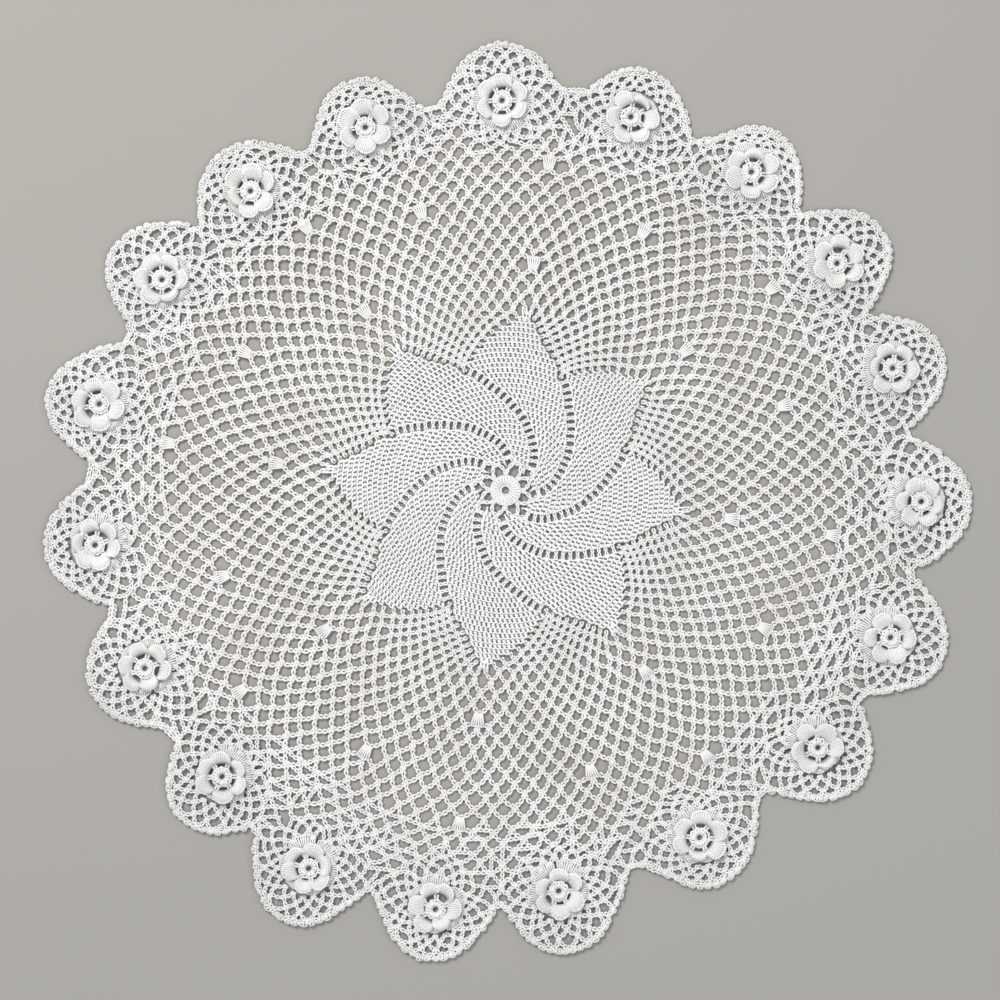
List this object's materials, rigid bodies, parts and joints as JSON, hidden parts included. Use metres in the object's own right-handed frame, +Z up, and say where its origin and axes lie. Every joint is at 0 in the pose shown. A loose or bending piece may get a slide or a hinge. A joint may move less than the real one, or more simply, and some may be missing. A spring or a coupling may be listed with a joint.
{
  "type": "crocheted lace doily",
  "caption": "Round crocheted cotton doily with a swirl centre, open chain-loop net and a scalloped border of raised roses; lies flat under a vase, lamp or dish.",
  "frame": {"origin": "middle of the outline's bounding box at the underside, where the doily rests on the table", "axes": "+Z up out of the table, towards the viewer; +Y towards the edge that lies away from the viewer; +X to the viewer's right"},
  "size_m": [0.3358, 0.3332, 0.004],
  "materials": {
    "cotton_ground": "matt off-white mercerised crochet cotton, net and close blades",
    "cotton_medallion": "matt off-white crochet cotton, raised roses and chain loops"
  },
  "bodies": {
    "root": {"ground": "cotton_ground", "medallion_01": "cotton_medallion", "medallion_02": "cotton_medallion", "medallion_03": "cotton_medallion", "medallion_04": "cotton_medallion", "medallion_05": "cotton_medallion", "medallion_06": "cotton_medallion", "medallion_07": "cotton_medallion", "medallion_08": "cotton_medallion", "medallion_09": "cotton_medallion", "medallion_10": "cotton_medallion", "medallion_11": "cotton_medallion", "medallion_12": "cotton_medallion", "medallion_13": "cotton_medallion", "medallion_14": "cotton_medallion", "medallion_15": "cotton_medallion", "medallion_16": "cotton_medallion", "medallion_17": "cotton_medallion", "medallion_18": "cotton_medallion", "medallion_19": "cotton_medallion"}
  },
  "joints": []
}
